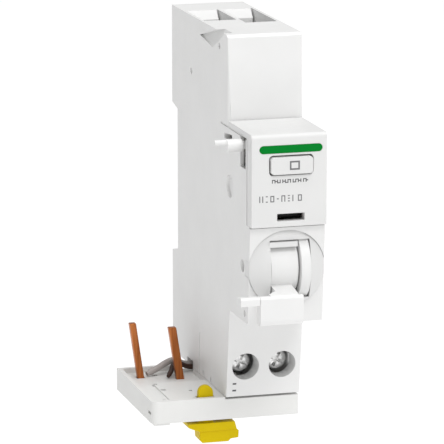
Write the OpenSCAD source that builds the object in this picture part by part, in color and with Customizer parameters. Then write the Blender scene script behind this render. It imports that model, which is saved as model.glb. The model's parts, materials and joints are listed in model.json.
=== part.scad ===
// Add-on residual current block, 1P+N, for the right-hand side of a miniature circuit breaker.
// Frame: X runs to the right and is 0 on the left side of the tall body, the side that meets
// the breaker. Y runs to the back and is 0 on the seat of the 35 mm rail. Z is up and 0 on the
// centre line of the rail. The breaker stands on the tray, at X below 0.

/* [Case] */
// Width of the tall body: two 9 mm modules
body_w = 18; // [17.8:0.1:18.4]
// Height of the top of the case above the rail's centre line
top_z = 42.5; // [42:0.1:44]
// Underside of the case
case_z0 = -44.4; // [-44.6:0.1:-44.2]
// Half the height of the nose that comes through the panel cut-out
nose_half = 22.5; // [22.2:0.1:22.5]
// Depth from the rail seat to the shoulder behind the nose
shoulder_d = 44.7; // [44.5:0.1:45]
// Depth from the rail seat to the front of the label cover
nose_d = 64.2; // [64:0.1:64.6]
// Depth of the feet behind the rail seat
rear_d = 5; // [4.8:0.1:5.2]
// Wall thickness of the case
wall = 1.6; // [1.4:0.1:1.7]

/* [Rail] */
// Height of the rail between its two edges
rail_h = 35; // [34.9:0.1:35.2]
// Clearance behind the rail's flange, under the fixed hook and the clip
rail_flange_gap = 1.2; // [1.1:0.1:1.3]
// Width of the rail clip
clip_w = 9.6; // [9:0.2:10]

/* [Base tray] */
// Overall width of the tray: the body and the breaker beside it
base_w = 36; // [35.8:0.1:36.2]
// Front of the tray
base_front = -42.7; // [-42.9:0.1:-42.5]
// Back of the tray
base_back = -8.9; // [-9.2:0.1:-8.7]
// Underside of the tray
base_z0 = -49.9; // [-50.2:0.1:-49.6]
// Top of the tray's rim
rim_z = -44.5; // [-44.6:0.1:-44.5]

/* [Toggle] */
// Depth of the toggle's axis
pivot_y = -56.8; // [-57:0.1:-56.6]
// Height of the toggle's axis
pivot_z = -9.4; // [-9.5:0.1:-9.3]
// Radius of the drum between the cheeks
hub_r = 7; // [6.8:0.1:7.1]
// Radius of the disc to the right of the drum
disc_r = 8.5; // [8.3:0.1:8.5]
// Radius of the round bezel
bezel_r = 9.15; // [9:0.05:9.2]
// Left end of the handle tie that reaches over the breaker's toggle
tie_x = -4; // [-6:0.1:-3.8]

/* [Terminals] */
// Distance between the two terminals, and between the two prongs
pole_pitch = 9; // [9]
// Radius of the screwdriver recess
recess_r = 3.3; // [3.1:0.1:3.3]
// Radius of the cable entry
entry_r = 2.5; // [2.2:0.1:2.6]
// Height of the terminal screws
screw_z = -36.95; // [-37.1:0.05:-36.8]

/* [Trip mechanism] */
// Radius of the trip pin's thick part
trip_pin_r = 1.52; // [1.4:0.02:1.56]
// How far the trip pin stands out of the left side
trip_pin_out = 6.7; // [6:0.1:8]

/* [Hidden] */
$fn = 64;

eps = 0.1;                               // overrun of a cut past the face it opens
fit = 0.05;                              // radial clearance of a shaft in its hole
rail_half = rail_h / 2;
seam = 0.35;                             // joint line between the upper block and the label cover
thin_wall = 0.9;                         // wall in front of the trip lever's pocket
side_hole = [-46, 7.2];                  // Y and Z of the round recess in the left side
vent = [[-42, 18.5], [-47.4, 19]];       // ends of the narrow slot behind the trip pin
vent_r = 0.65;
lead_door = [-13.8, -8.6];               // Y from and to of the notch the two leads pass through
lid_x = body_w - 1.55;                   // inner face of the side cover
lid_t = 1.45;
plate_back = -nose_d + 1.1;              // back of the label cover's front plate
cover_z0 = 0.85;                         // lower edge of the label cover
flange_z = nose_half - 1.2;              // underside of the label cover's top flange
nose_low_y = -61.2;                      // front of the nose at its lower edge
lower_top_y = -46.3;                     // front of the lower block under the nose
lower_bot_y = -43.25;                    // front of the lower block at the seam
chamber_y = -39.4;                       // back of the wall in front of the terminals
roof_z = flange_z - 1.4;                 // inside of the nose's roof
mid_x = body_w / 2;
term_x = [mid_x - pole_pitch / 2, mid_x + pole_pitch / 2];
entry_y = -27.5;                         // centre of the cable entries
rivets = [[-38.5, 33.5], [0.6, 25.5], [-48.5, -18.7], [-4.2, -39.5]];
trip_axis = [-40, 16];                   // Y and Z of the trip lever's axle
trip_pin_at = [-56.8, 19];               // Y and Z of the trip pin at rest
trip_axle_r = 1;
toggle_axle_r = 1.5;
spigot = [-10.9, -6];                    // Y and Z of the handle tie's spigot, from the toggle's axis
spigot_r = 0.65;
button = [9.5, 15.2];                    // X and Z of the test button's centre
flag_slot = [6.15, 12.7, 2.2, 3.9];      // X from, X to, Z from, Z to of the fault window
relay_x = 9.2;
relay_y = -31;                           // axis of the relay's coil and plunger
toroid_y = -10;
toroid_z = [-19.2, -8.8];
conductor_r = 1.15;
conductor_gap = 1.3;                     // half the distance between the two conductors
screw_shank_r = 1.75;

// A box between two opposite corners.
module box(lo, hi) translate(lo) cube(hi - lo);

// A rod along X, Y or Z between two values of that axis.
module rod_x(r, x0, x1, y, z) translate([x0, y, z]) rotate([0, 90, 0]) cylinder(r = r, h = x1 - x0);
module rod_y(r, y0, y1, x, z) translate([x, y0, z]) rotate([-90, 0, 0]) cylinder(r = r, h = y1 - y0);
module rod_z(r, z0, z1, x, y) translate([x, y, z0]) cylinder(r = r, h = z1 - z0);

// An outline drawn in (Y, Z) and extruded along X, or in (X, Z) and extruded along Y.
module slab_x(x0, x1) translate([x0, 0, 0]) rotate([90, 0, 90]) linear_extrude(x1 - x0) children();
module slab_y(y0, y1) translate([0, y1, 0]) rotate([90, 0, 0]) linear_extrude(y1 - y0) children();
module slab_z(z0, z1) translate([0, 0, z0]) linear_extrude(z1 - z0) children();

// A rectangle with round corners, between two opposite corners.
module round_rect(lo, hi, r) {
    translate(lo + [r, 0]) square(hi - lo - [2 * r, 0]);
    translate(lo + [0, r]) square(hi - lo - [0, 2 * r]);
    for (x = [lo.x + r, hi.x - r], y = [lo.y + r, hi.y - r])
        translate([x, y]) circle(r);
}

// A tube along Y.
module tube_y(outer, inner, y0, y1, x, z) difference() {
    rod_y(outer, y0, y1, x, z);
    rod_y(inner, y0 - eps, y1 + eps, x, z);
}

// Round wire through a list of points, as straight stretches with ball corners. The balls are
// a shade thicker than the wire, so the two surfaces cross instead of just touching.
module wire(points, r) {
    for (i = [0 : len(points) - 2]) {
        run = points[i + 1] - points[i];
        translate(points[i])
            rotate([0, acos(run.z / norm(run)), atan2(run.y, run.x)])
                cylinder(r = r, h = norm(run));
    }
    for (i = [1 : len(points) - 2]) translate(points[i]) sphere(r * 1.04);
}

// Rings of a flexible lead, square to a Catmull-Rom curve through its route.
lead_sides = 8;
lead_steps = 3;
function spline(p0, p1, p2, p3, t) = 0.5 * (2 * p1 + (p2 - p0) * t
    + (2 * p0 - 5 * p1 + 4 * p2 - p3) * t * t + (3 * p1 - p0 - 3 * p2 + p3) * t * t * t);
function lead_points(p) = [for (i = [0 : len(p) - 2], s = [0 : lead_steps - 1])
    spline(p[max(i - 1, 0)], p[i], p[i + 1], p[min(i + 2, len(p) - 1)], s / lead_steps),
    p[len(p) - 1]];
function unit(v) = v / norm(v);
module lead(route, r) {
    path = lead_points(route);
    n = len(path);
    rings = [for (i = [0 : n - 1])
        let (along = unit(path[min(i + 1, n - 1)] - path[max(i - 1, 0)]),
             side = unit(cross(along, [0, 0, 1])),
             over = cross(side, along))
        for (k = [0 : lead_sides - 1])
            path[i] + r * (cos(360 * k / lead_sides) * side + sin(360 * k / lead_sides) * over)];
    walls = [for (i = [0 : n - 2], k = [0 : lead_sides - 1])
        let (a = i * lead_sides + k, b = i * lead_sides + (k + 1) % lead_sides)
        [a, b, b + lead_sides, a + lead_sides]];
    first = [[for (k = [0 : lead_sides - 1]) lead_sides - 1 - k]];
    last = [[for (k = [0 : lead_sides - 1]) (n - 1) * lead_sides + k]];
    polyhedron(rings, concat(walls, first, last));
}

// ---------- case ----------

// Side view of the case: shoulders, nose, rail recess and the slanted lower front.
module case_outline() polygon([
    [rear_d, top_z], [-shoulder_d + 1.3, top_z], [-shoulder_d + 0.6, top_z - 0.7],
    [-shoulder_d, nose_half], [-shoulder_d, flange_z], [plate_back, flange_z],
    [plate_back, cover_z0], [nose_low_y, -nose_half], [lower_top_y, -nose_half],
    [lower_bot_y, case_z0], [rear_d, case_z0], [rear_d, -rail_half - 1.2], [0, -rail_half],
    [0, rail_half], [rear_d, rail_half + 1]]);

// Side view of the hollow, drawn in by gap on every side for the lid that closes it.
module cavity_outline(gap = 0) polygon([
    [plate_back + 1.7 + gap, roof_z - gap], [plate_back + 1.7 + gap, cover_z0],
    [nose_low_y + 1.6 + gap, -21.1 + gap], [-44.6 + gap, -21.1 + gap], [-43.2 + gap, -31 + gap],
    [chamber_y + gap, -31 + gap], [chamber_y + gap, case_z0 + 1.5 + gap],
    [-1.6 - gap, case_z0 + 1.5 + gap], [-1.6 - gap, 20 + gap], [rear_d - 1.6 - gap, 20 + gap],
    [rear_d - 1.6 - gap, top_z - 1.6 - gap], [-4.6 + gap, top_z - 1.6 - gap],
    [-4.6 + gap, 29.5 - gap], [-29.8 - gap, 29.5 - gap], [-29.8 - gap, 36.4 - gap],
    [-42.6 + gap, 36.4 - gap], [-43.1 + gap, roof_z - gap]]);

// One of the two wells in the top, with a sloped lead-in at the back and a corner slot.
module top_well(x0, x1, front) {
    box([x0, front, 30.5], [x1, -8.2, top_z + eps]);
    slab_x(x0, x1) polygon([[-8.4, top_z - 2.2], [-6, top_z + eps], [-8.4, top_z + eps]]);
    box([x1 - 0.45, -8.4, 34], [x1, -5.6, top_z + eps]);
}

// Everything that opens the left wall.
module left_side_cuts() {
    // slot that the trip pin travels in, and the narrow vent slot behind it
    box([-eps, -59.3, 13.7], [wall + eps, -54.95, 20.9]);
    for (at = vent) rod_x(vent_r, -eps, wall + eps, at[0], at[1]);
    slab_x(-eps, wall + eps) polygon([vent[0] - [0, vent_r], vent[1] - [0, vent_r],
        vent[1] + [0, vent_r], vent[0] + [0, vent_r]]);
    // round recess with a small slot through its floor
    rod_x(2.7, -eps, 0.7, side_hole[0], side_hole[1]);
    box([-eps, side_hole[0] - 1.2, side_hole[1] + 1.5], [wall + eps, side_hole[0] + 1.2, side_hole[1] + 2.2]);
    // toggle axle, trip axle, a small locating hole under the nose and a dimple near the top
    rod_x(toggle_axle_r + fit, -eps, wall + 1, pivot_y, pivot_z);
    rod_x(trip_axle_r + 0.02, 0.8, wall + eps, trip_axis[0], trip_axis[1]);
    rod_x(0.8, -eps, 1, -58.6, -20.4);
    rod_x(0.9, -eps, 0.6, -12.6, 29);
    // two small slots above the tray
    for (y = [-23, -29.7]) box([-eps, y - 0.4, -44.1], [0.5, y + 0.4, -42.9]);
    // notch for the two leads from the tray, and the shallow groove in front of it
    box([-eps, lead_door[0], case_z0 - eps], [5, lead_door[1], case_z0 + 1.6]);
    box([-eps, -20, case_z0 - eps], [0.25, -19.5, -34]);
    // parting line of the label cover
    box([-eps, -60.4, flange_z - 0.5], [0.25, -38.5, flange_z]);
}

// Slanting scoop in the top left edge, with its small hole.
module edge_scoop() {
    intersection() {
        slab_x(-eps, 5) polygon([[-20.4, 39], [-31.6, 37.7], [-41.2, 42.1], [-41.2, top_z + eps],
            [-35.3, top_z + eps]]);
        slab_y(-42, -20) polygon([[-eps, 37.3], [2.2, top_z + eps], [-eps, top_z + eps]]);
    }
    rod_x(0.8, -eps, 3, -37.3, 39);
}

// Round vertical corner at the front left of the upper block.
module corner_cut(r = 1.2) difference() {
    box([-eps, -shoulder_d - eps, flange_z - eps], [r, -shoulder_d + r, top_z + eps]);
    rod_z(r, flange_z - 1, top_z + 1, r, -shoulder_d + r);
}

module front_cuts() {
    // seat of the bezel
    rod_y(bezel_r + 0.06, plate_back - 2, -59.05, mid_x, pivot_z);
    rod_x(disc_r + 0.35, 4.6, 14.5, pivot_y, pivot_z);
    // room for the trip lever under the label cover's flange
    box([thin_wall, -60.9, 12.8], [3.85, -53.5, flange_z + eps]);
    box([flag_slot[0] - 0.2, plate_back - eps, flag_slot[2] - 0.2],
        [flag_slot[1] + 0.2, -61, flag_slot[3] + 0.2]);
    box([button[0] - 5.3, plate_back - eps, button[1] - 2.35],
        [button[0] + 5.3, -61, button[1] + 2.35]);
    // joint under the label cover, and the seats of its two side returns
    box([-eps, plate_back - eps, cover_z0 - 0.4], [body_w + eps, plate_back + 0.9, cover_z0 + eps]);
    box([-eps, plate_back - eps, cover_z0], [0.95, -60.05, flange_z + eps]);
    box([body_w - 0.95, plate_back - eps, cover_z0], [body_w + eps, -61.5, flange_z + eps]);
    for (x = term_x) rod_y(recess_r, -48, chamber_y + eps, x, screw_z);
}

module rear_cuts() {
    // channel of the rail clip and its two guide grooves
    box([mid_x - clip_w / 2 - 0.2, 1, case_z0 - eps],
        [mid_x + clip_w / 2 + 0.2, rear_d + eps, -rail_half + eps]);
    box([mid_x - clip_w / 2 - 1, 1, case_z0 - eps], [mid_x + clip_w / 2 + 1, 2.5, -rail_half + eps]);
    for (x = term_x) rod_z(entry_r, case_z0 - eps, case_z0 + 1.6, x, entry_y);
}

module case() color("white") difference() {
    union() {
        difference() {
            slab_x(0, body_w) case_outline();
            slab_x(wall, body_w + eps) cavity_outline();
        }
        for (at = rivets) rod_x(1.9, wall - eps, lid_x, at[0], at[1]);
        rod_x(2.6, wall - eps, wall + 0.5, pivot_y, pivot_z);
        for (at = [[-25.5, 10.5], [-34, -2.5], [-51.8, 9.9]]) rod_x(1.3, wall - eps, 4.15, at[0], at[1]);
        // wall between the two terminals
        box([mid_x - 0.6, chamber_y - eps, case_z0 + 1], [mid_x + 0.6, -23, -31]);
        // fixed hook over the upper edge of the rail
        box([4, rail_flange_gap, rail_half - 1.6], [14, 3.2, rail_half + 0.9]);
    }
    top_well(0.8, 8.6, -22);
    top_well(9.4, 17.2, -27);
    left_side_cuts();
    edge_scoop();
    corner_cut();
    front_cuts();
    rear_cuts();
    for (at = rivets) rod_x(0.82, 8, lid_x + eps, at[0], at[1]);
}

module side_cover() color("white") difference() {
    slab_x(lid_x, lid_x + lid_t) cavity_outline(0.06);
    rod_y(bezel_r + 0.1, -64, -58.8, mid_x, pivot_z);
    rod_x(toggle_axle_r + 0.02, lid_x - eps, lid_x + 0.8, pivot_y, pivot_z);
    for (at = rivets) {
        rod_x(0.85, lid_x - eps, body_w, at[0], at[1]);
        rod_x(1.65, lid_x + 0.7, body_w, at[0], at[1]);
    }
}

module case_rivets() color("silver") for (at = rivets) {
    rod_x(0.8, 9, lid_x + 0.8, at[0], at[1]);
    rod_x(1.6, lid_x + 0.75, lid_x + 1.3, at[0], at[1]);
}

// ---------- front ----------

// Stretched circle in (X, Z): the outline of the green stripe.
module stripe_outline(grow = 0) {
    for (x = [2.8, 16]) translate([x, 19]) circle(0.9 + grow);
    translate([2.8, 18.1 - grow]) square([13.2, 1.8 + 2 * grow]);
}

module front_cover() color("white") difference() {
    union() {
        // front plate and top flange, with a round edge between them
        slab_x(0, body_w) polygon(concat(
            [[plate_back, cover_z0], [-nose_d, cover_z0]],
            [for (a = [0 : 15 : 90]) [-nose_d + 1 - cos(a), nose_half - 1 + sin(a)]],
            [[-shoulder_d - seam, nose_half], [-shoulder_d - seam, flange_z + 0.02],
             [plate_back, flange_z + 0.02]]));
        box([0, plate_back - eps, cover_z0], [0.9, -60.55, flange_z + 0.1]);
        box([body_w - 0.9, plate_back - eps, cover_z0], [body_w, -61.55, flange_z + 0.1]);
    }
    slab_y(-nose_d - eps, -nose_d + 0.3) stripe_outline(0.02);
    box([flag_slot[0], -nose_d - eps, flag_slot[2]], [flag_slot[1], plate_back + eps, flag_slot[3]]);
    slab_y(-nose_d - eps, plate_back + eps)
        round_rect(button - [5.3, 2.35], button + [5.3, 2.35], 0.9);
}

module label_stripe() color("green")
    slab_y(-nose_d - 0.04, -nose_d + 0.28) stripe_outline();

module test_button() color("white") {
    slab_y(-nose_d - 0.7, -61.2) round_rect(button - [5, 2], button + [5, 2], 0.8);
    box([button[0] - 5.75, -61.3, button[1] - 2.85], [button[0] + 5.75, -60.2, button[1] + 2.85]);
    rod_y(1.9, -60.3, -55, button[0], button[1]);
}

module test_spring() color("silver")
    tube_y(3.1, 2.5, -60.15, -52.45, button[0], button[1]);

module test_contact() color("gold") {
    box([button[0] - 1.6, -53.05, button[1] - 1], [button[0] + 1.6, -52.75, button[1] + 1]);
    rod_y(0.8, -52.85, -52.4, button[0], button[1]);
}

module circuit_board() color("darkgreen")
    box([4.2, -52.4, 8.6], [lid_x - 0.05, -51.2, roof_z - 0.05]);

module board_components() color("dimgray") {
    rod_y(2.2, -51.2, -46.8, 7, 12.2);
    box([10.2, -51.2, 9.6], [14.6, -49.4, 12.8]);
    box([11, -51.2, 14.2], [15, -49.8, 15.6]);
    rod_y(0.6, -51.2, -49.9, 12.6, 17.4);
}

module test_resistor() color("peru") {
    rod_x(1.2, 5.4, 10.6, -49.6, 17.8);
    for (x = [4.9, 10.55]) box([x, -51.2, 17.5], [x + 0.55, -49.3, 18.1]);
}

// ---------- toggle ----------

// Round bezel: a shallow dome with a window for the toggle.
module toggle_bezel() color("white") {
    dome_r = 17.5;
    dome_front = -64.9;
    difference() {
        intersection() {
            rod_y(bezel_r, -66, -59.1, mid_x, pivot_z);
            translate([mid_x, dome_front + dome_r, pivot_z]) sphere(dome_r, $fn = 128);
            box([0.02, -67, -30], [body_w - 0.02, -50, 10]);
        }
        box([4.7, -70, pivot_z - 7], [14.4, -50, pivot_z + 6.8]);
        rod_x(disc_r + 0.3, 4.7, 14.4, pivot_y, pivot_z);
        box([4.7, -70, pivot_z + 6.7], [14.4, -62.9, pivot_z + bezel_r + 1]);
        // room for the front of the reset slider
        box([14.3, -60.7, pivot_z + 1.5], [body_w, -59, pivot_z + 6.5]);
    }
    // rib that closes the window above the drum
    box([4.5, -63.5, pivot_z + 5.3], [11.3, -62.4, pivot_z + 6.5]);
}

// Side view of the lever's neck and of the block at its end, about the toggle's axis.
module neck_outline() polygon([[-2.4, -3.2], [-12.1, -4.7], [-12.6, -5.2], [-12.6, -6.6],
    [-8.2, -6.6], [-1.5, -3.8]]);
module block_outline() polygon(concat([[-9.4, -5.3], [-12.1, -4.8], [-12.7, -5.4]],
    [for (a = [0 : 15 : 90]) [-11.2 - 1.5 * cos(a), -10.3 - 1.5 * sin(a)]],
    [[-9.9, -11.8], [-9.4, -11.2]]));

// Drum, neck and block. The neck is wider on the left where it has passed the bezel's cheek.
module toggle_lever() color("white") difference() {
    union() {
        rod_x(hub_r, 4.95, 11.45, pivot_y, pivot_z);
        rod_x(2.6, 11.4, 11.8, pivot_y, pivot_z);
        intersection() {
            translate([0, pivot_y, pivot_z]) slab_x(3.2, 10) neck_outline();
            translate([0, pivot_y, 0]) slab_z(-30, 10)
                polygon([[5.1, 0], [5.1, -9.4], [3.2, -11], [3.2, -13], [10, -13], [10, 0]]);
        }
        translate([0, pivot_y, pivot_z]) slab_x(0.7, 11) block_outline();
    }
    rod_x(toggle_axle_r + fit, 4, 13, pivot_y, pivot_z);
    rod_x(spigot_r + 0.02, 0.6, 3.6, pivot_y + spigot[0], pivot_z + spigot[1]);
}

// Disc to the right of the drum, with the crank pin that drives the reset slider.
crank_r = 3.6;
crank_angle = 31;
crank = [pivot_y - crank_r * sin(crank_angle), pivot_z + crank_r * cos(crank_angle)];
module toggle_disc() color("white") difference() {
    union() {
        rod_x(disc_r, 11.8, 14.1, pivot_y, pivot_z);
        rod_x(0.8, 14, 15.9, crank[0], crank[1]);
    }
    rod_x(toggle_axle_r + fit, 11, 16, pivot_y, pivot_z);
}

// Tie over the breaker's toggle: a channel open underneath, with a spigot into the block.
module handle_tie() color("white") translate([0, pivot_y, pivot_z]) {
    difference() {
        slab_x(tie_x, 0.65) polygon([[-9, -5.3], [-12.1, -4.8], [-12.6, -5.3], [-12.6, -6.8],
            [-9, -6.8]]);
        box([tie_x + 0.9, -11.7, -7], [0, -9.9, -5.9]);
    }
    rod_x(spigot_r, 0.5, 3.4, spigot[0], spigot[1]);
}

module toggle_axle() color("silver") rod_x(toggle_axle_r, 1, lid_x + 0.7, pivot_y, pivot_z);

module toggle_spring() color("silver") difference() {
    union() {
        rod_x(2.2, 2.5, 4.6, pivot_y, pivot_z);
        box([2.5, pivot_y, pivot_z + 1.6], [3.1, pivot_y + 7, pivot_z + 2.2]);
    }
    rod_x(1.6, 2, 5, pivot_y, pivot_z);
}

// Fork that follows the crank pin and runs back beside the relay.
module reset_slider() color("lightgray") difference() {
    union() {
        box([14.5, -60.4, pivot_z + 1.95], [15.9, -36, pivot_z + 6]);
        box([14.5, -38, pivot_z + 1.95], [15.9, -34.5, 9]);
    }
    box([14, crank[0] - 0.95, pivot_z + 1], [16.4, crank[0] + 0.95, pivot_z + 4.75]);
    box([14, -52, pivot_z + 1], [16.4, -42, pivot_z + 3.6]);
}

// ---------- trip mechanism ----------

module trip_lever() color("ivory") difference() {
    union() {
        slab_x(1.95, 3.45) {
            translate(trip_axis) circle(2.4);
            // boss round the trip pin, and the two arms
            translate(trip_pin_at) circle(1.9);
            polygon([[-40, 13.8], [-40, 18.3], [-56, 19.4], [-56, 17.2]]);
            polygon([[-40, 18], [-40, 13.8], [-30, 14.4], [-30, 15.9]]);
        }
        box([3.3, relay_y - 1.1, 14.4], [11.4, relay_y + 1.1, 15.8]);
    }
    rod_x(trip_axle_r + fit, 1, 4, trip_axis[0], trip_axis[1]);
    rod_x(1.02, 1, 4, trip_pin_at[0], trip_pin_at[1]);
}

module trip_pin() color("white") {
    rod_x(trip_pin_r, -3.9, -0.3, trip_pin_at[0], trip_pin_at[1]);
    rod_x(0.65, -trip_pin_out, -3.8, trip_pin_at[0], trip_pin_at[1] + trip_pin_r - 0.7);
    rod_x(1, -0.4, 3.45, trip_pin_at[0], trip_pin_at[1]);
}

module trip_axle() color("silver") rod_x(trip_axle_r, 0.85, 5.4, trip_axis[0], trip_axis[1]);

module trip_spring() color("silver") difference() {
    union() {
        rod_x(1.9, 3.75, 5.2, trip_axis[0], trip_axis[1]);
        box([4.4, trip_axis[0] - 6, trip_axis[1] - 1.8], [5, trip_axis[0], trip_axis[1] - 1.25]);
    }
    rod_x(1.25, 3, 6, trip_axis[0], trip_axis[1]);
}

// Flag behind the fault window: its upper half comes into view after a trip.
module fault_flag() color("red") {
    box([6, -59.6, 2.2], [12.8, -58.8, 6.2]);
    box([2.1, -59.6, 5.2], [6.1, -58.8, 6.2]);
    box([2.1, -59.6, 5.2], [3.5, -58.8, 11]);
}

module relay_holder() color("black") difference() {
    union() {
        for (x = [4.2, 13.2]) box([x, relay_y - 5, -4.2], [x + 1, relay_y + 9.5, 13]);
        box([4.3, relay_y - 5, -4.2], [14, relay_y + 9.5, -3.05]);
        box([4.3, relay_y - 5, 11.9], [14, relay_y + 9.5, 13]);
    }
    rod_z(1.07, 11, 14, relay_x, relay_y);
}

module relay_yoke() color("slategray") {
    box([5.7, relay_y - 4.4, -3], [12.7, relay_y + 8.6, -1.4]);
    box([5.7, relay_y + 7, -1.5], [12.7, relay_y + 8.6, 7.9]);
    rod_z(1.9, -1.5, 7.9, relay_x, relay_y);
}

module relay_coil() color("chocolate") difference() {
    rod_z(3.85, -1.35, 7.4, relay_x, relay_y);
    rod_z(1.95, -2, 8, relay_x, relay_y);
}

module relay_magnet() color("gray")
    box([6.5, relay_y + 4.5, -1.35], [11.9, relay_y + 6.95, 3]);

// Armature with a round rear edge, which is the edge it rocks on.
module relay_armature() color("slategray") {
    box([5.9, relay_y - 3.8, 8.15], [12.5, relay_y + 8.7, 9.2]);
    rod_x(0.525, 5.9, 12.5, relay_y + 8.7, 8.675);
}

module relay_plunger() color("ivory") rod_z(1, 9.5, 14.05, relay_x, relay_y);

// ---------- current path ----------

module toroid_core() color("slategray") difference() {
    rod_z(6.3, toroid_z[0] + 0.9, toroid_z[1] - 0.9, mid_x, toroid_y);
    rod_z(4.4, toroid_z[0], toroid_z[1], mid_x, toroid_y);
}

// The winding's section is a frame round the core, in (radius, height).
module toroid_winding() color("chocolate")
    translate([mid_x, toroid_y, toroid_z[0]]) rotate([0, 0, 105]) rotate_extrude(angle = 330)
        difference() {
            height = toroid_z[1] - toroid_z[0];
            translate([3.6, 0]) square([3.6, height]);
            translate([4.35, 0.85]) square([2, height - 1.7]);
        }

module toroid_cradle() color("black") difference() {
    box([1.7, -17.4, toroid_z[0] - 1.4], [16.3, -2.2, toroid_z[0] - 0.05]);
    rod_z(3.2, toroid_z[0] - 2, toroid_z[0] + 1, mid_x, toroid_y);
}

// Thin pair of wires from the sensing winding to the relay coil.
module sense_lead() color("firebrick")
    lead([[6.4, -17.45, -14], [6.4, -20, -14.6], [6.8, -26, -13], [7, -33, -10], [7, -38.6, -4],
        [7.4, -39, 2], [7.6, -42, 6], [7.4, -46, 8], [7, -51.15, 9.3]], 0.45);

function conductor_route(side) = [
    [mid_x + side * conductor_gap, toroid_y, -41.2],
    [mid_x + side * conductor_gap, toroid_y, -7],
    [mid_x + side * 4.5, -28.8, -7],
    [mid_x + side * 4.5, -28.8, -31]];
module conductor_n() color("peru") wire(conductor_route(-1), conductor_r);
module conductor_l() color("peru") wire(conductor_route(1), conductor_r);

module contact_plate(x) color("goldenrod") box([x - 1.8, -31, -41.2], [x + 1.8, -30, -27.8]);
module contact_plate_n() contact_plate(term_x[0]);
module contact_plate_l() contact_plate(term_x[1]);

// Rising cage that clamps the cable against the contact plate.
module cage(x) color("silver") difference() {
    box([x - 2.7, -32.9, screw_z - 3.7], [x + 2.7, -24.2, screw_z + 3.7]);
    box([x - 2, -31.9, screw_z - 4], [x + 2, -25, screw_z + 4]);
    rod_y(screw_shank_r + 0.07, -34, -31, x, screw_z);
}
module cage_n() cage(term_x[0]);
module cage_l() cage(term_x[1]);

module terminal_screw(x) color("silver") difference() {
    union() {
        rod_y(2.6, -39.25, -37.4, x, screw_z);
        rod_y(screw_shank_r, -37.5, -31.3, x, screw_z);
    }
    translate([x, -39.35, screw_z]) for (a = [22, 112]) rotate([0, a, 0])
        translate([-1.7, 0, -0.4]) cube([3.4, 1.2, 0.8]);
}
module screw_n() terminal_screw(term_x[0]);
module screw_l() terminal_screw(term_x[1]);

// ---------- base tray ----------

module tray_outline() {
    corner = 1.6;
    left = body_w - base_w;
    translate([left + corner, base_front]) square([base_w - corner, base_back - base_front]);
    translate([left, base_front + corner]) square([corner, base_back - base_front - corner]);
    translate([left + corner, base_front + corner]) circle(corner);
}

// The breaker's seat: a hollow with a low step at its front left and a high one at its right.
seat_z = -45.8;
module seat_hollow() difference() {
    box([body_w - base_w + 1.1, base_front + 1.3, seat_z], [-0.05, base_back - 1.1, rim_z + eps]);
    box([body_w - base_w, base_front + 1, seat_z - eps], [0, -25, rim_z - 0.5]);
    box([-13.2, base_front + 1, seat_z - eps], [0, -25, rim_z - 0.15]);
}

module base_tray() color("white") difference() {
    union() {
        slab_z(base_z0, rim_z) tray_outline();
        box([body_w - base_w + 0.6, base_front + 0.3, base_z0 - 0.5], [-13.6, -38, base_z0 + eps]);
    }
    seat_hollow();
    // joint line under the case, and the way of the leads under its left wall
    box([-eps, base_front - eps, rim_z - 0.55], [body_w + eps, base_front + 2.2, rim_z + eps]);
    box([-2.4, lead_door[0], seat_z], [3.4, base_back + eps, rim_z + eps]);
    // slot of the breaker lock, and the slit and marks beside it
    box([-6.7, -41.3, base_z0 - eps], [-2.1, -39.3, rim_z + eps]);
    box([-14.5, -41.2, seat_z], [-13.9, -39, rim_z + eps]);
    for (at = [[-6.2, -33.8], [-6.2, -25], [-7.4, -41.2]])
        box([at[0] - 0.4, at[1] - 0.5, -46.1], [at[0] + 0.4, at[1] + 0.5, rim_z + eps]);
    for (at = [[-9.6, -13.5], [-13, -26], [-12.3, -31.6]])
        box([at[0] - 0.6, at[1] - 0.7, -46.6], [at[0] + 0.6, at[1] + 0.7, rim_z + eps]);
    box([body_w - base_w - eps, -41.4, -47.95], [body_w - base_w + 0.8, -38.8, -47.25]);
    for (at = [prong_n_at, prong_l_at])
        box([at[0] - 1.05, at[1] - 0.9, -48], [at[0] + 1.05, at[1] + 0.9, rim_z]);
    for (x = term_x) rod_z(entry_r, base_z0 - eps, rim_z + eps, x, entry_y);
    // hollow underside
    box([-16.4, -36, base_z0 - eps], [-1, -10.4, -47.4]);
    box([1.2, -22, base_z0 - eps], [16.8, -10.4, -46.4]);
}

// Copper prong that goes up into the breaker's terminal, leaning to the left. Its foot holds
// under the tray's floor.
prong_n_at = [mid_x - 2.5 * pole_pitch, -14.5];
prong_l_at = [mid_x - 1.5 * pole_pitch, -18];
module prong(at, top_z, half_w) color("chocolate") {
    slab_y(at[1] - 0.8, at[1] + 0.8) polygon([[at[0] - half_w, -47.6], [at[0] + half_w, -47.6],
        [at[0] + half_w, seat_z], [at[0] + half_w - 2, top_z], [at[0] - half_w - 2, top_z],
        [at[0] - half_w, seat_z]]);
    box([at[0] - 1.4, at[1] - 1.3, -48.3], [at[0] + 1.4, at[1] + 1.3, -47.45]);
}
module prong_n() prong(prong_n_at, -32, 0.8);
module prong_l() prong(prong_l_at, -32.8, 0.95);

module lead_n() color("gray") lead([[-11.9, -14.5, -45], [-8.9, -13.4, -44.1],
    [-6.6, -12.4, -43.2], [-4.3, -11.3, -42.9], [-1.2, -9.9, -44.3], [1.6, -9.7, -44.4],
    [4.6, -9.9, -42], [6.5, -10, -41.9]], 0.78);
module lead_l() color("saddlebrown") lead([[-7.4, -17.9, -45.1], [-6.2, -16.2, -44.3],
    [-5.4, -14.9, -43.2], [-3.9, -13.3, -43], [-1, -12, -44.5], [1.6, -11.9, -44.5],
    [4.6, -12.2, -42.2], [9.2, -12.1, -41.8], [9.9, -11.9, -40.4]], 0.6);

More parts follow.
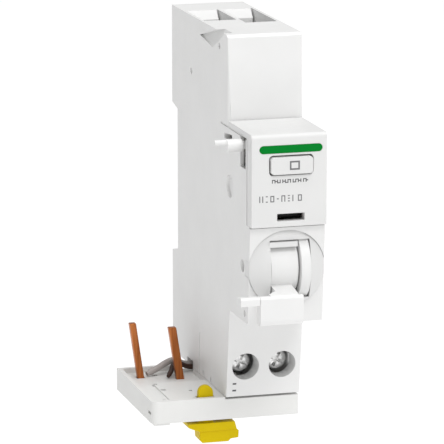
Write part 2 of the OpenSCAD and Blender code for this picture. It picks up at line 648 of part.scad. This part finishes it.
// Yellow slide that locks the breaker to the tray: round tab above, grip below.
module lock_slide() color("gold") {
    rod_y(1.8, -41.1, -39.6, -4.4, -43.6);
    box([-6.2, -41.1, -50.8], [-2.6, -39.6, -43.6]);
    slab_y(-42.4, -37) polygon([[-9.1, -50.7], [2.4, -50.7], [2.9, -52.6], [-6.3, -52.7],
        [-8.5, -51.8], [-9.1, -51.5]]);
    slab_y(-42, -37.4) polygon([[-6.2, -52.6], [2.7, -52.5], [3.5, -53.1], [3.4, -54.8],
        [1.5, -55], [0.9, -55.6], [-5.5, -55.6], [-6.1, -54.9]]);
}

// Clip behind the lower edge of the rail, pulled down to let go.
module din_clip() color("gold") difference() {
    union() {
        box([mid_x - clip_w / 2, 1.3, -49.4], [mid_x + clip_w / 2, rear_d - 0.2, -20]);
        box([mid_x - clip_w / 2 - 0.8, 1.3, -44], [mid_x + clip_w / 2 + 0.8, 2.3, -20]);
        slab_x(5, 13) polygon([[1.3, -20.1], [1.3, -16.5], [2, -15.8], [3, -15.8],
            [rear_d - 0.2, -17.5], [rear_d - 0.2, -20.1]]);
    }
    box([7, 0, -48.4], [11, 6, -47]);
}

case();
side_cover();
front_cover();
label_stripe();
case_rivets();
base_tray();
prong_n();
prong_l();
lead_n();
lead_l();
lock_slide();
din_clip();
toggle_bezel();
toggle_lever();
toggle_disc();
handle_tie();
toggle_axle();
toggle_spring();
reset_slider();
test_button();
test_spring();
test_contact();
test_resistor();
circuit_board();
board_components();
trip_lever();
trip_pin();
trip_axle();
trip_spring();
fault_flag();
relay_holder();
relay_yoke();
relay_coil();
relay_magnet();
relay_armature();
relay_plunger();
toroid_core();
toroid_winding();
toroid_cradle();
sense_lead();
conductor_n();
conductor_l();
contact_plate_n();
contact_plate_l();
cage_n();
cage_l();
screw_n();
screw_l();
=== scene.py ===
"""Looks of the add-on residual current block: materials, print, springs, screws, leads and light."""

import json
import math

import bmesh
import bpy
from mathutils import Matrix, Vector


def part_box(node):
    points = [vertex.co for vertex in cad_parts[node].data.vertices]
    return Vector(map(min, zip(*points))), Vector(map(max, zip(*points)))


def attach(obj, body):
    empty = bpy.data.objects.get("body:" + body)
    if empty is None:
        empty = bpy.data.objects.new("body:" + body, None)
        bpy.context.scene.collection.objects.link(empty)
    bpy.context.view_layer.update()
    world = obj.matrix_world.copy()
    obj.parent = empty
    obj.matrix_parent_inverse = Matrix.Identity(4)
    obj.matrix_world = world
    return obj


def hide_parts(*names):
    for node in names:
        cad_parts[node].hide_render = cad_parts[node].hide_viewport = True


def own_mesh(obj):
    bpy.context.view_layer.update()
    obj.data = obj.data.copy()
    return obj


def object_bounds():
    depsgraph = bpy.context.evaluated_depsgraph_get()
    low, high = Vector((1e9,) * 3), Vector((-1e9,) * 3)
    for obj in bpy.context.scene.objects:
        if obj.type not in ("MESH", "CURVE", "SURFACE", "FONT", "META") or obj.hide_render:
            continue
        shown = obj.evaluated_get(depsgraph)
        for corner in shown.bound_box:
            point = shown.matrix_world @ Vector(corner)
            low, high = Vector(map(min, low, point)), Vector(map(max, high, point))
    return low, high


MM = 0.001
NOISE_LOW, NOISE_HIGH = 0.3, 0.7         # a noise texture mostly stays between these
WAVE_RADIANS = 20                        # a wave texture's phase per metre at scale 1
SHARP_ANGLE = math.radians(35)           # sharper edges stay hard on the mesh pieces
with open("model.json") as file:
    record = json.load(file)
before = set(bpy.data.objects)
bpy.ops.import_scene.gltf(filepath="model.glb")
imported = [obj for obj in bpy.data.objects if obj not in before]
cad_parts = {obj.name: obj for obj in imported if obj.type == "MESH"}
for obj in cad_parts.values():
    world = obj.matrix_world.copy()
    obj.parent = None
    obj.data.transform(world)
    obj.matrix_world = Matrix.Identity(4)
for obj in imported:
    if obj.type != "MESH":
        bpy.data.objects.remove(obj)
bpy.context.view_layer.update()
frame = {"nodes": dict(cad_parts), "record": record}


# ---------- node materials ----------

def new_material(name):
    """An empty Principled material, its node tree and its shader."""
    mat = bpy.data.materials.new(name)
    mat.use_nodes = True
    return mat, mat.node_tree, mat.node_tree.nodes["Principled BSDF"]


def object_noise(tree, scale, detail=3.0, stretch=(1, 1, 1)):
    """Noise fixed to the object, with scale in cells per metre and a stretch for each axis."""
    coords = tree.nodes.new("ShaderNodeTexCoord")
    mapping = tree.nodes.new("ShaderNodeMapping")
    mapping.inputs["Scale"].default_value = stretch
    noise = tree.nodes.new("ShaderNodeTexNoise")
    noise.inputs["Scale"].default_value = scale
    noise.inputs["Detail"].default_value = detail
    tree.links.new(coords.outputs["Object"], mapping.inputs["Vector"])
    tree.links.new(mapping.outputs["Vector"], noise.inputs["Vector"])
    return noise.outputs["Fac"]


def remap(tree, value, low, high):
    """value from a noise, stretched over its usual middle range to low..high."""
    node = tree.nodes.new("ShaderNodeMapRange")
    node.inputs["From Min"].default_value = NOISE_LOW
    node.inputs["From Max"].default_value = NOISE_HIGH
    node.inputs["To Min"].default_value = low
    node.inputs["To Max"].default_value = high
    tree.links.new(value, node.inputs["Value"])
    return node.outputs["Result"]


def tint(tree, shader, value, dark, light):
    """Base colour that goes from dark to light with value."""
    ramp = tree.nodes.new("ShaderNodeValToRGB")
    ramp.color_ramp.elements[0].position = NOISE_LOW
    ramp.color_ramp.elements[0].color = (*dark, 1)
    ramp.color_ramp.elements[1].position = NOISE_HIGH
    ramp.color_ramp.elements[1].color = (*light, 1)
    tree.links.new(value, ramp.inputs["Fac"])
    tree.links.new(ramp.outputs["Color"], shader.inputs["Base Color"])


def bump(tree, shader, value, strength, depth):
    """Surface relief of the given depth in metres."""
    node = tree.nodes.new("ShaderNodeBump")
    node.inputs["Strength"].default_value = strength
    node.inputs["Distance"].default_value = depth
    tree.links.new(value, node.inputs["Height"])
    tree.links.new(node.outputs["Normal"], shader.inputs["Normal"])


def moulded(name, color, roughness=0.42, texture=9000, relief=0.1, variation=0.02, gloss=0.5):
    """Injection-moulded plastic: a faint cloudiness, a fine spark-eroded texture and a soft sheen."""
    mat, tree, shader = new_material(name)
    clouds = object_noise(tree, 90, 4)
    dark = [c * (1 - variation) for c in color]
    light = [min(1, c * (1 + variation)) for c in color]
    tint(tree, shader, clouds, dark, light)
    grain = object_noise(tree, texture, 2)
    bump(tree, shader, grain, relief, 2e-5)
    rough = remap(tree, object_noise(tree, 700, 3), roughness - 0.05, roughness + 0.06)
    tree.links.new(rough, shader.inputs["Roughness"])
    shader.inputs["IOR"].default_value = 1.49
    shader.inputs["Specular IOR Level"].default_value = gloss
    return mat


def metal(name, dark, light, roughness=0.3, stretch=(1, 1, 1), scale=2500, relief=0.25):
    """Bare or plated metal with drawn or brushed streaks along the axis that stretch makes small."""
    mat, tree, shader = new_material(name)
    streaks = object_noise(tree, scale, 4, stretch)
    tint(tree, shader, streaks, dark, light)
    bump(tree, shader, streaks, relief, 1.5e-5)
    rough = remap(tree, object_noise(tree, 500, 3), roughness - 0.07, roughness + 0.1)
    tree.links.new(rough, shader.inputs["Roughness"])
    shader.inputs["Metallic"].default_value = 1
    return mat


def wound(name, color, pitch, axis):
    """Enamelled wire laid in turns of the given pitch, across the axis, with painted shade darkening
    the grooves between the turns.
    """
    mat, tree, shader = new_material(name)
    coords = tree.nodes.new("ShaderNodeTexCoord")
    wave = tree.nodes.new("ShaderNodeTexWave")
    wave.bands_direction = axis
    wave.inputs["Scale"].default_value = math.tau / (WAVE_RADIANS * pitch)
    wave.inputs["Distortion"].default_value = 0.6
    tree.links.new(coords.outputs["Object"], wave.inputs["Vector"])
    # painted shade: where the bump dips into the grooves between the turns, the colour darkens to 0.45
    # of the wire's colour
    tint(tree, shader, wave.outputs["Fac"], [c * 0.45 for c in color], color)
    bump(tree, shader, wave.outputs["Fac"], 0.9, pitch / 2)
    shader.inputs["Roughness"].default_value = 0.3
    shader.inputs["Coat Weight"].default_value = 0.4
    return mat


def board_face(name):
    """Solder resist over a net of tracks."""
    mat, tree, shader = new_material(name)
    coords = tree.nodes.new("ShaderNodeTexCoord")
    bricks = tree.nodes.new("ShaderNodeTexBrick")
    bricks.inputs["Scale"].default_value = 400
    bricks.inputs["Mortar Size"].default_value = 0.05
    bricks.inputs["Color1"].default_value = (0.01, 0.10, 0.035, 1)
    bricks.inputs["Color2"].default_value = (0.012, 0.12, 0.045, 1)
    bricks.inputs["Mortar"].default_value = (0.03, 0.22, 0.08, 1)
    tree.links.new(coords.outputs["Object"], bricks.inputs["Vector"])
    tree.links.new(bricks.outputs["Color"], shader.inputs["Base Color"])
    bump(tree, shader, bricks.outputs["Fac"], 0.3, 3e-5)
    shader.inputs["Roughness"].default_value = 0.3
    return mat


def two_tone_flag(name, split_z):
    """Black below the given height and red above it."""
    mat, tree, shader = new_material(name)
    coords = tree.nodes.new("ShaderNodeTexCoord")
    parts = tree.nodes.new("ShaderNodeSeparateXYZ")
    above = tree.nodes.new("ShaderNodeMath")
    above.operation = "GREATER_THAN"
    above.inputs[1].default_value = split_z
    ramp = tree.nodes.new("ShaderNodeValToRGB")
    ramp.color_ramp.elements[0].color = (0.012, 0.012, 0.013, 1)
    ramp.color_ramp.elements[1].color = (0.5, 0.012, 0.01, 1)
    tree.links.new(coords.outputs["Object"], parts.inputs["Vector"])
    tree.links.new(parts.outputs["Z"], above.inputs[0])
    tree.links.new(above.outputs["Value"], ramp.inputs["Fac"])
    tree.links.new(ramp.outputs["Color"], shader.inputs["Base Color"])
    bump(tree, shader, object_noise(tree, 6000, 2), 0.1, 2e-5)
    shader.inputs["Roughness"].default_value = 0.45
    return mat


def make_materials():
    """One material for each slot of the record."""
    flag_low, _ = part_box("fault_flag")
    black_height = 2.1 * MM
    across = (1, 1, 0.05)
    return {
        "shell": moulded("shell_plastic", (0.76, 0.76, 0.755), 0.45),
        "front_white": moulded("front_plastic", (0.7, 0.7, 0.695), 0.4, relief=0.06),
        "toggle_white": moulded("toggle_plastic", (0.77, 0.77, 0.765), 0.42, relief=0.05),
        "tray_grey": moulded("tray_plastic", (0.75, 0.75, 0.735), 0.48),
        "stripe_green": moulded("green_print", (0.001, 0.19, 0.022), 0.6, variation=0.06, gloss=0.05),
        "yellow": moulded("yellow_plastic", (0.62, 0.46, 0.002), 0.42, variation=0.08, gloss=0.1),
        "steel": metal("zinc_plate", (0.78, 0.78, 0.78), (0.95, 0.95, 0.94), 0.32),
        "copper": metal("bare_copper", (0.34, 0.095, 0.028), (0.56, 0.2, 0.065), 0.34, across),
        "brass": metal("stamped_brass", (0.55, 0.38, 0.14), (0.72, 0.53, 0.24), 0.3, across),
        "enamel": wound("coil_wire", (0.45, 0.12, 0.03), 0.00025, "Z"),
        "pole_iron": metal("annealed_iron", (0.2, 0.2, 0.21), (0.36, 0.36, 0.37), 0.42),
        "inner_black": moulded("black_plastic", (0.02, 0.02, 0.021), 0.45),
        "inner_ivory": moulded("ivory_plastic", (0.66, 0.62, 0.5), 0.4),
        "flag_red": two_tone_flag("flag_plastic", flag_low.z + black_height),
        "board_green": board_face("solder_resist"),
        "component_dark": moulded("component_epoxy", (0.03, 0.03, 0.032), 0.3),
        "resistor_tan": moulded("resistor_lacquer", (0.5, 0.33, 0.16), 0.35),
        "lead_grey": moulded("grey_insulation", (0.42, 0.385, 0.37), 0.5, variation=0.12),
        "lead_brown": moulded("brown_insulation", (0.05, 0.022, 0.014), 0.5, variation=0.2),
        "lead_red": moulded("red_insulation", (0.35, 0.01, 0.008), 0.45, variation=0.1),
        "print": moulded("dark_print", (0.09, 0.09, 0.095), 0.5, variation=0.15),
        "soft_print": moulded("grey_print", (0.16, 0.16, 0.165), 0.5, variation=0.15),
    }


# ---------- carried-over CAD nodes ----------

def soften_edges(obj, width):
    """Rounds a CAD node's hard edges a little, as moulding and tumbling do."""
    weld = obj.modifiers.new("weld", "WELD")
    weld.merge_threshold = 1e-6
    flat = obj.modifiers.new("planar", "DECIMATE")
    flat.decimate_type = "DISSOLVE"
    flat.angle_limit = math.radians(0.5)
    bevel = obj.modifiers.new("bevel", "BEVEL")
    bevel.width = width
    bevel.segments = 2
    bevel.limit_method = "ANGLE"
    bevel.angle_limit = math.radians(32)
    bevel.harden_normals = False
    normals = obj.modifiers.new("normals", "WEIGHTED_NORMAL")
    normals.keep_sharp = True


# Edge radius of the larger nodes, in mm. All others get SMALL_EDGE.
SMALL_EDGE = 0.06
EDGE_RADIUS = {
    "case": 0.22, "side_cover": 0.15, "front_cover": 0.22, "base_tray": 0.25, "toggle_lever": 0.25,
    "toggle_disc": 0.15, "handle_tie": 0.18, "toggle_bezel": 0.1, "test_button": 0.2,
    "lock_slide": 0.2, "din_clip": 0.2, "prong_n": 0.18, "prong_l": 0.18,
}


def dress_nodes(materials):
    """Gives every CAD node its slot's material and soft edges."""
    for part in frame["record"]["subparts"]:
        obj = frame["nodes"][part["node"]]
        obj.data.materials.clear()
        obj.data.materials.append(materials[part["material_slot"]])
        soften_edges(obj, EDGE_RADIUS.get(part["node"], SMALL_EDGE) * MM)


# ---------- mesh pieces ----------

def add_piece(name, mesh, material, body, replaces=()):
    """Links a mesh as a piece of the object that rides on a body."""
    for face in mesh.polygons:
        face.use_smooth = True
    mesh.set_sharp_from_angle(angle=SHARP_ANGLE)
    mesh.materials.append(material)
    obj = bpy.data.objects.new(name, mesh)
    bpy.context.scene.collection.objects.link(obj)
    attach(obj, body)
    if replaces:
        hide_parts(*replaces)
    return obj


def mesh_from(name, verts, faces):
    """A checked mesh from vertices and faces."""
    mesh = bpy.data.meshes.new(name)
    mesh.from_pydata([tuple(v) for v in verts], [], faces)
    mesh.validate()
    mesh.update()
    return mesh


def sweep(points, radius, sides=14):
    """Vertices and faces of a closed round tube along points; radius is a number or one per point."""
    points = [Vector(p) for p in points]
    radii = radius if isinstance(radius, (list, tuple)) else [radius] * len(points)
    tangents = []
    for i in range(len(points)):
        step = points[min(i + 1, len(points) - 1)] - points[max(i - 1, 0)]
        tangents.append(step.normalized())
    side = tangents[0].orthogonal().normalized()
    verts = []
    for point, tangent, r in zip(points, tangents, radii):
        side = (side - tangent * side.dot(tangent)).normalized()
        over = tangent.cross(side)
        for k in range(sides):
            a = math.tau * k / sides
            verts.append(point + r * (math.cos(a) * side + math.sin(a) * over))
    faces = []
    for i in range(len(points) - 1):
        for k in range(sides):
            a, b = i * sides + k, i * sides + (k + 1) % sides
            faces.append((a, b, b + sides, a + sides))
    faces.append(tuple(reversed(range(sides))))
    faces.append(tuple(range(len(verts) - sides, len(verts))))
    return verts, faces


def smooth_path(points, steps=8):
    """A Catmull-Rom curve through points."""
    pts = [Vector(p) for p in points]
    out = []
    for i in range(len(pts) - 1):
        p0, p1 = pts[max(i - 1, 0)], pts[i]
        p2, p3 = pts[i + 1], pts[min(i + 2, len(pts) - 1)]
        for s in range(steps):
            t = s / steps
            out.append(0.5 * (2 * p1 + (p2 - p0) * t + (2 * p0 - 5 * p1 + 4 * p2 - p3) * t ** 2
                              + (3 * p1 - p0 - 3 * p2 + p3) * t ** 3))
    out.append(pts[-1])
    return out


def coil_points(centre, axis, radius, length, turns, per_turn=20):
    """Points of a helix about an axis through centre, starting at -length/2."""
    axis = Vector(axis).normalized()
    side = axis.orthogonal().normalized()
    over = axis.cross(side)
    count = int(turns * per_turn)
    points = []
    for i in range(count + 1):
        a = math.tau * turns * i / count
        along = length * (i / count - 0.5)
        points.append(Vector(centre) + axis * along
                      + radius * (math.cos(a) * side + math.sin(a) * over))
    return points


def middle(node):
    """Centre and size of a CAD node's box."""
    low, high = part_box(node)
    return (low + high) / 2, high - low


def lathe(profile, centre, sides=48):
    """Closed solid of revolution about Y; profile is a list of (radius, y) from axis to axis."""
    verts = [Vector((centre.x, profile[0][1], centre.z)), Vector((centre.x, profile[-1][1], centre.z))]
    for r, y in profile[1:-1]:
        for k in range(sides):
            a = math.tau * k / sides
            verts.append(Vector((centre.x + r * math.cos(a), y, centre.z + r * math.sin(a))))
    rings = len(profile) - 2
    faces = []
    for k in range(sides):
        n = (k + 1) % sides
        faces.append((0, 2 + k, 2 + n))
        last = 2 + (rings - 1) * sides
        faces.append((1, last + n, last + k))
        for i in range(rings - 1):
            a = 2 + i * sides
            faces.append((a + k, a + sides + k, a + sides + n, a + n))
    return verts, faces


def cut(mesh, cutter):
    """mesh less cutter, as a new mesh."""
    body = bpy.data.objects.new("cut_body", mesh)
    tool = bpy.data.objects.new("cut_tool", cutter)
    for obj in (body, tool):
        bpy.context.scene.collection.objects.link(obj)
    boolean = body.modifiers.new("cut", "BOOLEAN")
    boolean.object = tool
    boolean.operation = "DIFFERENCE"
    boolean.solver = "EXACT"
    boolean.use_self = True
    graph = bpy.context.evaluated_depsgraph_get()
    result = bpy.data.meshes.new_from_object(body.evaluated_get(graph))
    for obj in (body, tool):
        bpy.data.objects.remove(obj)
    return result


def recalc(mesh):
    """The mesh, with all its normals pointing outwards."""
    bm = bmesh.new()
    bm.from_mesh(mesh)
    bmesh.ops.recalc_face_normals(bm, faces=bm.faces)
    bm.to_mesh(mesh)
    bm.free()
    return mesh


def add_spike(bm, width, length, depth, angle, face):
    """Adds a bar that tapers as it goes in from face, a point on the screw's head."""
    proud = 0.1 * MM
    made = bmesh.ops.create_cube(bm, size=1)["verts"]
    for v in made:
        deep = v.co.y > 0
        length_share = 0.55 if deep else 1
        width_share = 0.7 if deep else 1
        v.co = Vector((v.co.x * length * length_share, (v.co.y + 0.5) * depth - proud,
                       v.co.z * width * width_share))
    bmesh.ops.rotate(bm, verts=made, cent=(0, 0, 0), matrix=Matrix.Rotation(angle, 3, "Y"))
    bmesh.ops.translate(bm, verts=made, vec=face)


def cross_cutter(centre, y_face, turn):
    """Tapered cross recess, with the four fine ticks of a combined-drive screw between its arms."""
    bm = bmesh.new()
    face = (centre.x, y_face, centre.z)
    for arm in range(2):
        angle = turn + arm * math.pi / 2
        add_spike(bm, 0.85 * MM, 3.9 * MM, 1.5 * MM, angle, face)
        add_spike(bm, 0.18 * MM, 3.3 * MM, 0.3 * MM, angle + math.pi / 4, face)
    mesh = bpy.data.meshes.new("cross")
    bm.to_mesh(mesh)
    bm.free()
    return mesh


HEAD_HEIGHT = 1.9 * MM


def screw_head_mesh(node, turn):
    """Raised head with a rolled rim and a cross recess."""
    centre, size = middle(node)
    low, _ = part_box(node)
    r, y = size.x / 2, low.y
    profile = [(0, y), (0.55 * r, y + 0.02 * MM), (0.84 * r, y + 0.12 * MM), (0.95 * r, y + 0.3 * MM),
               (r, y + 0.55 * MM), (r, y + 1.6 * MM), (0.96 * r, y + 1.85 * MM), (0, y + HEAD_HEIGHT)]
    verts, faces = lathe(profile, centre)
    head = recalc(mesh_from(node + "_head", verts, faces))
    return cut(head, cross_cutter(centre, y, turn))


def screw_thread_mesh(node):
    """Shank with a cut thread of 0.8 mm pitch and a chamfered tip."""
    centre, _ = middle(node)
    low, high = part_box(node)
    pitch, outer, depth = 0.8 * MM, 1.75 * MM, 0.3 * MM
    overlap = 0.02 * MM
    chamfer, tip_share = 0.5 * MM, 0.7
    start, end = low.y + HEAD_HEIGHT - overlap, high.y
    rows, sides = 70, 32
    verts = []
    for i in range(rows + 1):
        y = start + (end - start) * i / rows
        tip = min(1.0, tip_share + (1 - tip_share) * (end - y) / chamfer)
        for k in range(sides):
            phase = (y / pitch - k / sides) % 1
            r = (outer - depth * abs(2 * phase - 1)) * tip
            a = math.tau * k / sides
            verts.append(Vector((centre.x + r * math.cos(a), y, centre.z + r * math.sin(a))))
    faces = [(i * sides + k, i * sides + (k + 1) % sides,
              (i + 1) * sides + (k + 1) % sides, (i + 1) * sides + k)
             for i in range(rows) for k in range(sides)]
    faces.append(tuple(range(sides)))
    faces.append(tuple(reversed(range(rows * sides, (rows + 1) * sides))))
    return recalc(mesh_from(node + "_thread", verts, faces))


def build_screws(materials):
    """Head and threaded shank of each terminal screw, with its cross turned by some degrees."""
    for node, turn in (("screw_n", 22), ("screw_l", 26)):
        head = screw_head_mesh(node, math.radians(turn))
        add_piece(node + "_head", head, materials["steel"], node, [node])
        thread = screw_thread_mesh(node)
        add_piece(node + "_thread", thread, materials["steel"], node)


def build_test_spring(materials):
    """Compression spring behind the test button, which squashes it."""
    centre, size = middle("test_spring")
    wire = 0.27 * MM
    radius = size.x / 2 - wire
    coil = coil_points(centre, (0, 1, 0), radius, size.y - 2 * wire, 6.5)
    mesh = mesh_from("test_coil", *sweep(coil, wire, 10))
    spring = add_piece("test_coil", mesh, materials["steel"], "housing", ["test_spring"])
    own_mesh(spring)


def build_torsion_spring(node, axle, leg, materials):
    """Torsion spring round an axle, with a leg that runs along Y."""
    centre, size = middle(node)
    axle_centre, axle_size = middle(axle)
    hub = Vector((centre.x, axle_centre.y, axle_centre.z))
    wire = 0.2 * MM
    radius = axle_size.z / 2 + 2 * wire
    coil = coil_points(hub, (1, 0, 0), radius, size.x - 2 * wire, 4.25)
    tail = coil[-1] + Vector((0, leg, 0))
    mesh = mesh_from(node + "_coil", *sweep(coil + [tail], wire, 8))
    add_piece(node + "_coil", mesh, materials["steel"], "housing", [node])


def build_springs(materials):
    """Coil springs in place of the tubes and collars."""
    build_test_spring(materials)
    build_torsion_spring("toggle_spring", "toggle_axle", 6.4 * MM, materials)
    build_torsion_spring("trip_spring", "trip_axle", -4.6 * MM, materials)


# Routes of the two leads in mm, as in the part's source.
LEAD_N = [(-11.9, -14.5, -45), (-8.9, -13.4, -44.1), (-6.6, -12.4, -43.2), (-4.3, -11.3, -42.9),
          (-1.2, -9.9, -44.3), (1.6, -9.7, -44.4), (4.6, -9.9, -42), (6.5, -10, -41.9)]
LEAD_L = [(-7.4, -17.9, -45.1), (-6.2, -16.2, -44.3), (-5.4, -14.9, -43.2), (-3.9, -13.3, -43),
          (-1, -12, -44.5), (1.6, -11.9, -44.5), (4.6, -12.2, -42.2), (9.2, -12.1, -41.8),
          (9.9, -11.9, -40.4)]


def build_lead(node, route, radius, materials, slot):
    """Lead whose insulation thins at each end."""
    path = smooth_path([Vector(p) * MM for p in route], 5)
    bare = 2                             # points in each thin end
    end = [radius * 0.75] * bare
    radii = end + [radius] * (len(path) - 2 * bare) + end
    mesh = mesh_from(node + "_insulation", *sweep(path, radii, 18))
    add_piece(node + "_insulation", mesh, materials[slot], "housing", [node])


def build_leads(materials):
    """The two leads between the prongs and the body."""
    build_lead("lead_n", LEAD_N, 0.78 * MM, materials, "lead_grey")
    build_lead("lead_l", LEAD_L, 0.6 * MM, materials, "lead_brown")


# ---------- print ----------

INK = 0.02 * MM                          # how far the print stands off its surface


def prism(bm, outline, face_y):
    """Flat shape in (x, z) laid on the surface y = face_y(z), as thick as a coat of ink."""
    back = [bm.verts.new((x, face_y(z), z)) for x, z in outline]
    front = [bm.verts.new((x, face_y(z) - INK, z)) for x, z in outline]
    count = len(outline)
    bm.faces.new(front)
    bm.faces.new(list(reversed(back)))
    for i in range(count):
        j = (i + 1) % count
        bm.faces.new((back[i], back[j], front[j], front[i]))


def print_mesh(name, outlines, face_y):
    """One mesh of flat shapes, laid on the surface y = face_y(z)."""
    bm = bmesh.new()
    for outline in outlines:
        prism(bm, outline, face_y)
    bmesh.ops.recalc_face_normals(bm, faces=bm.faces)
    mesh = bpy.data.meshes.new(name)
    bm.to_mesh(mesh)
    bm.free()
    return mesh


def bar(x, z, width, height):
    """Outline of an upright rectangle about its centre."""
    return [(x - width / 2, z - height / 2), (x + width / 2, z - height / 2),
            (x + width / 2, z + height / 2), (x - width / 2, z + height / 2)]


def sign(kind, x, z, width, height, pen):
    """One plain sign: a box with some of its sides left out, centred on (x, z)."""
    across, up = (width - pen) / 2, (height - pen) / 2
    sides = {
        "left": bar(x - across, z, pen, height), "right": bar(x + across, z, pen, height),
        "top": bar(x, z + up, width - 2 * pen, pen), "bottom": bar(x, z - up, width - 2 * pen, pen),
        "middle": bar(x, z, width - 2 * pen, pen),
    }
    return [sides[side] for side in kind.split()]


def button_mark(ink):
    """A plain open box on the test button, in place of its lettering."""
    low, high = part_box("test_button")
    x, z = (low.x + high.x) / 2 + 0.6 * MM, (low.z + high.z) / 2 + 0.05 * MM
    marks = sign("left top right bottom", x, z, 2.4 * MM, 2.1 * MM, 0.38 * MM)
    mesh = print_mesh("button_mark", marks, lambda z: low.y)
    add_piece("button_mark", mesh, ink, "test_button")


def caption_row(ink):
    """Small print under the test button: a row of short plain strokes."""
    low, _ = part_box("front_cover")
    button_low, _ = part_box("test_button")
    z, h = button_low.z - 0.8 * MM, 0.42 * MM
    count, first, pitch, pen = 14, 1.2 * MM, 0.62 * MM, 0.22 * MM
    marks = []
    for i in range(count):
        x = button_low.x + first + pitch * i
        marks.append(bar(x, z, pen, 2 * h))
        if i % 4 != 3:
            marks.append(bar(x + 0.3 * MM, z + h * (1 - i % 3) * 0.75, 0.4 * MM, pen))
    mesh = print_mesh("caption_row", marks, lambda z: low.y)
    add_piece("caption_row", mesh, ink, "housing")


def neutral_mark(ink):
    """Two short bars on the slanted face beside the neutral screw's recess, in place of a letter."""
    # (y, z) of the slanted face's ends, as in the part's source
    top_y, top_z = -46.3 * MM, -22.5 * MM
    bottom_y, bottom_z = -43.25 * MM, -44.4 * MM
    slope = (bottom_y - top_y) / (bottom_z - top_z)
    marks = sign("top bottom", 1.9 * MM, -42.0 * MM, 1.7 * MM, 2.1 * MM, 0.4 * MM)
    mesh = print_mesh("neutral_mark", marks, lambda z: top_y + slope * (z - top_z))
    add_piece("neutral_mark", mesh, ink, "housing")


def label_row(ink):
    """A row of plain signs on the label cover, in place of the maker's lettering."""
    low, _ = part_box("front_cover")
    first, pitch, height = 2.3 * MM, 1.32 * MM, 6.65 * MM
    kinds = ("left right", "top bottom", "left top right bottom", "middle", "left right top",
             "top middle bottom", "left", "left top right bottom")
    marks = []
    for i, kind in enumerate(kinds):
        x = low.x + first + pitch * i
        marks += sign(kind, x, low.z + height, 0.95 * MM, 1.5 * MM, 0.24 * MM)
    mesh = print_mesh("label_row", marks, lambda z: low.y)
    add_piece("label_row", mesh, ink, "housing")


def build_print(materials):
    """Generic marks in the places where the device is printed."""
    for mark in (caption_row, neutral_mark):
        mark(materials["print"])
    for mark in (button_mark, label_row):
        mark(materials["soft_print"])


# ---------- stage ----------

FLOOR_DROP = 0.12                        # from the part's lowest point to the floor, in metres
WORLD_STRENGTH = 0.55
LIGHT_TARGET = (0, -0.03, 0)
# name, place in metres, diameter in metres, watts
LIGHTS = (
    ("key", (0.15, -0.75, 0.85), 0.5, 4.4),
    ("fill", (-0.12, -1, 0.12), 0.4, 0.7),
    ("top", (0.05, -0.15, 1.1), 0.6, 4.7),
)
LENS, SENSOR_WIDTH = 292, 36             # in mm
CAMERA_AZIMUTH, CAMERA_ELEVATION = math.radians(-15.95), math.radians(12.18)
CAMERA_DISTANCE = 0.869
CAMERA_TARGET = Vector((0.0056, -0.02, -0.00706))


def build_stage():
    """Plain pale floor below the hanging part."""
    low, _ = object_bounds()
    z = low[2] - FLOOR_DROP
    corners = [(-9, -6, z), (9, -6, z), (9, 12, z), (-9, 12, z)]
    mesh = mesh_from("floor", corners, [(0, 1, 2, 3)])
    mat, tree, shader = new_material("floor_paint")
    tint(tree, shader, object_noise(tree, 1.5, 2), (0.29, 0.29, 0.29), (0.31, 0.31, 0.31))
    shader.inputs["Roughness"].default_value = 0.9
    shader.inputs["Emission Color"].default_value = (1, 1, 1, 1)
    shader.inputs["Emission Strength"].default_value = 0.8
    mesh.materials.append(mat)
    floor = bpy.data.objects.new("floor", mesh)
    bpy.context.scene.collection.objects.link(floor)


def area_light(name, place, target, size, watts):
    """A round soft light that faces the target."""
    data = bpy.data.lights.new(name, "AREA")
    data.shape = "DISK"
    data.size = size
    data.energy = watts
    obj = bpy.data.objects.new(name, data)
    bpy.context.scene.collection.objects.link(obj)
    obj.location = place
    obj.rotation_euler = (Vector(target) - Vector(place)).to_track_quat("-Z", "Y").to_euler()


def build_light():
    """White surroundings and the three soft lights."""
    scene = bpy.context.scene
    scene.view_settings.view_transform = "Standard"
    world = bpy.data.worlds.new("studio")
    world.use_nodes = True
    background = world.node_tree.nodes["Background"]
    background.inputs["Color"].default_value = (1, 1, 1, 1)
    background.inputs["Strength"].default_value = WORLD_STRENGTH
    scene.world = world
    for name, place, size, watts in LIGHTS:
        area_light(name, place, LIGHT_TARGET, size, watts)


def build_camera():
    """The photo's view of the part."""
    data = bpy.data.cameras.new("camera")
    data.lens = LENS
    data.sensor_width = SENSOR_WIDTH
    data.clip_start = 0.05
    data.clip_end = 60
    camera = bpy.data.objects.new("camera", data)
    bpy.context.scene.collection.objects.link(camera)
    across = math.cos(CAMERA_ELEVATION)
    back = Vector((math.sin(CAMERA_AZIMUTH) * across, -math.cos(CAMERA_AZIMUTH) * across,
                   math.sin(CAMERA_ELEVATION)))
    camera.location = CAMERA_TARGET + CAMERA_DISTANCE * back
    camera.rotation_euler = (-back).to_track_quat("-Z", "Y").to_euler()
    bpy.context.scene.camera = camera


def main():
    """Builds the whole scene."""
    materials = make_materials()
    dress_nodes(materials)
    build_screws(materials)
    build_springs(materials)
    build_leads(materials)
    build_print(materials)
    build_stage()
    build_light()
    build_camera()


main()
